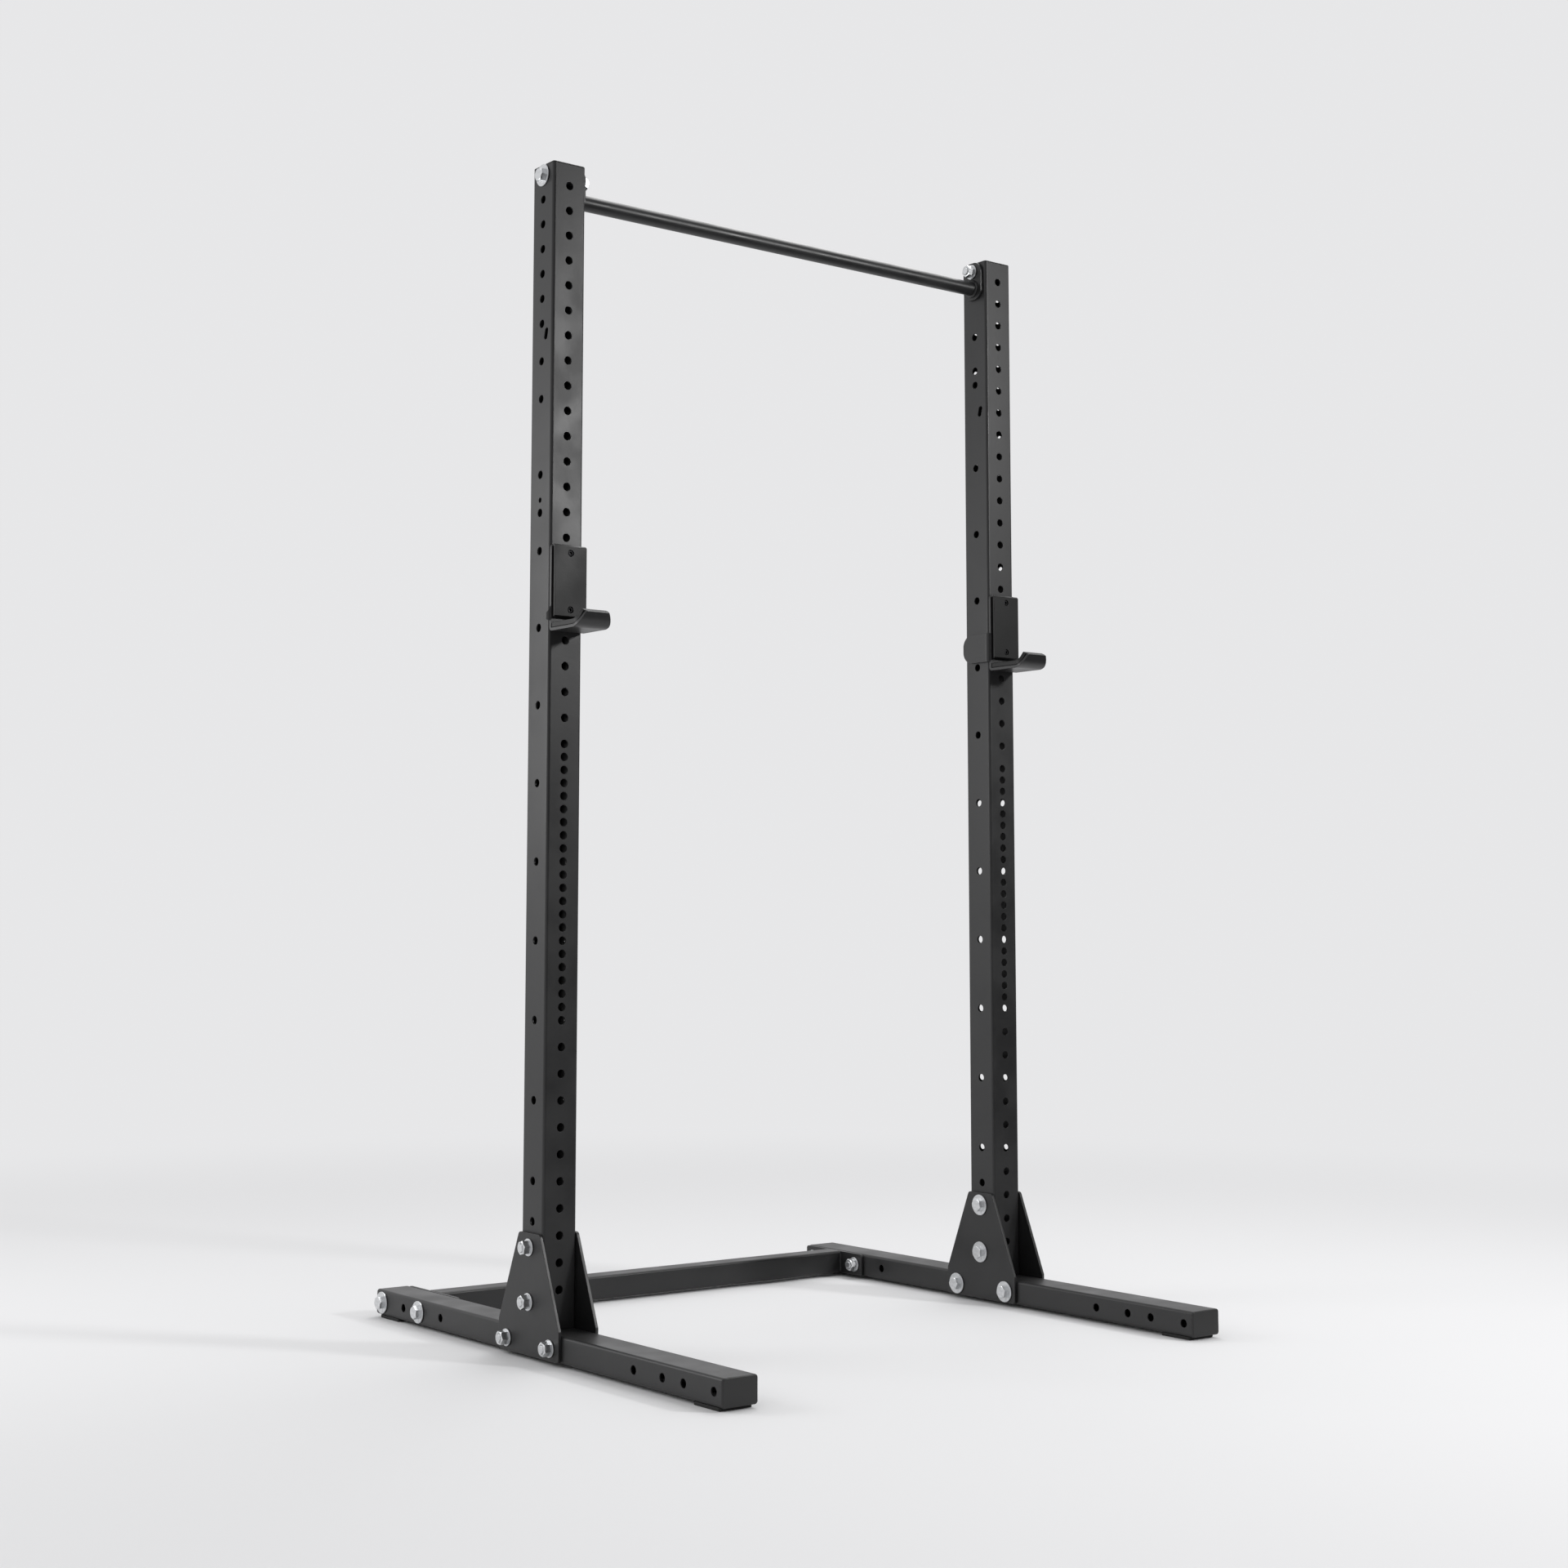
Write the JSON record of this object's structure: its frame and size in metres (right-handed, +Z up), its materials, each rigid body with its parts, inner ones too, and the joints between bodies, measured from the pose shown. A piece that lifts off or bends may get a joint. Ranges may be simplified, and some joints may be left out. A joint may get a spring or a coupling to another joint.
{
  "type": "half rack",
  "caption": "Free-standing half rack with perforated square uprights on box feet, gusset plates, a pull-up bar, a rear crossmember and sliding bar cups.",
  "frame": {"origin": "on the floor, midway between the uprights and midway along the feet", "axes": "+X to the rack's right upright seen from its front, -Y to the front where the cups are, +Z up"},
  "size_m": [1.299, 1.2192, 2.3368],
  "materials": {
    "frame_coat": "black powder coat on steel, fine satin texture",
    "cup_coat": "black powder coat on steel plate, fine satin texture",
    "fastener_zinc": "bright zinc plate",
    "screw_oxide": "black oxide on steel cap screws",
    "cap_plastic": "black moulded polyethylene",
    "pad_plastic": "black high-density polyethylene",
    "foot_rubber": "black rubber sheet"
  },
  "bodies": {
    "rack": {"rear_crossmember": "frame_coat", "pull_up_bar": "frame_coat", "left_upright": "frame_coat", "left_foot": "frame_coat", "left_inner_gusset": "frame_coat", "left_outer_gusset": "frame_coat", "left_upright_cap": "cap_plastic", "left_foot_front_cap": "cap_plastic", "left_foot_rear_cap": "cap_plastic", "left_foot_front_pad": "foot_rubber", "left_foot_rear_pad": "foot_rubber", "left_gusset_upper_bolt": "fastener_zinc", "left_gusset_upper_nut": "fastener_zinc", "left_gusset_lower_bolt": "fastener_zinc", "left_gusset_lower_nut": "fastener_zinc", "left_gusset_front_bolt": "fastener_zinc", "left_gusset_front_nut": "fastener_zinc", "left_gusset_rear_bolt": "fastener_zinc", "left_gusset_rear_nut": "fastener_zinc", "left_crossmember_front_bolt": "fastener_zinc", "left_crossmember_front_nut": "fastener_zinc", "left_crossmember_rear_bolt": "fastener_zinc", "left_crossmember_rear_nut": "fastener_zinc", "left_pull_up_bar_bolt": "fastener_zinc", "left_pull_up_bar_nut": "fastener_zinc", "right_upright": "frame_coat", "right_foot": "frame_coat", "right_inner_gusset": "frame_coat", "right_outer_gusset": "frame_coat", "right_upright_cap": "cap_plastic", "right_foot_front_cap": "cap_plastic", "right_foot_rear_cap": "cap_plastic", "right_foot_front_pad": "foot_rubber", "right_foot_rear_pad": "foot_rubber", "right_gusset_upper_bolt": "fastener_zinc", "right_gusset_upper_nut": "fastener_zinc", "right_gusset_lower_bolt": "fastener_zinc", "right_gusset_lower_nut": "fastener_zinc", "right_gusset_front_bolt": "fastener_zinc", "right_gusset_front_nut": "fastener_zinc", "right_gusset_rear_bolt": "fastener_zinc", "right_gusset_rear_nut": "fastener_zinc", "right_crossmember_front_bolt": "fastener_zinc", "right_crossmember_front_nut": "fastener_zinc", "right_crossmember_rear_bolt": "fastener_zinc", "right_crossmember_rear_nut": "fastener_zinc", "right_pull_up_bar_bolt": "fastener_zinc", "right_pull_up_bar_nut": "fastener_zinc"},
    "left_cup": {"left_cup_frame": "cup_coat", "left_cup_liner": "pad_plastic", "left_cup_pad": "pad_plastic", "left_cup_pad_upper_screw": "screw_oxide", "left_cup_pad_lower_screw": "screw_oxide"},
    "right_cup": {"right_cup_frame": "cup_coat", "right_cup_liner": "pad_plastic", "right_cup_pad": "pad_plastic", "right_cup_pad_upper_screw": "screw_oxide", "right_cup_pad_lower_screw": "screw_oxide"}
  },
  "joints": [
    {"name": "left_cup_slide", "type": "slide", "parent": "rack", "child": "left_cup", "axis": [0, -1, 0], "range_m": [0, 0.1]},
    {"name": "right_cup_slide", "type": "slide", "parent": "rack", "child": "right_cup", "axis": [0, -1, 0], "range_m": [0, 0.1]}
  ]
}
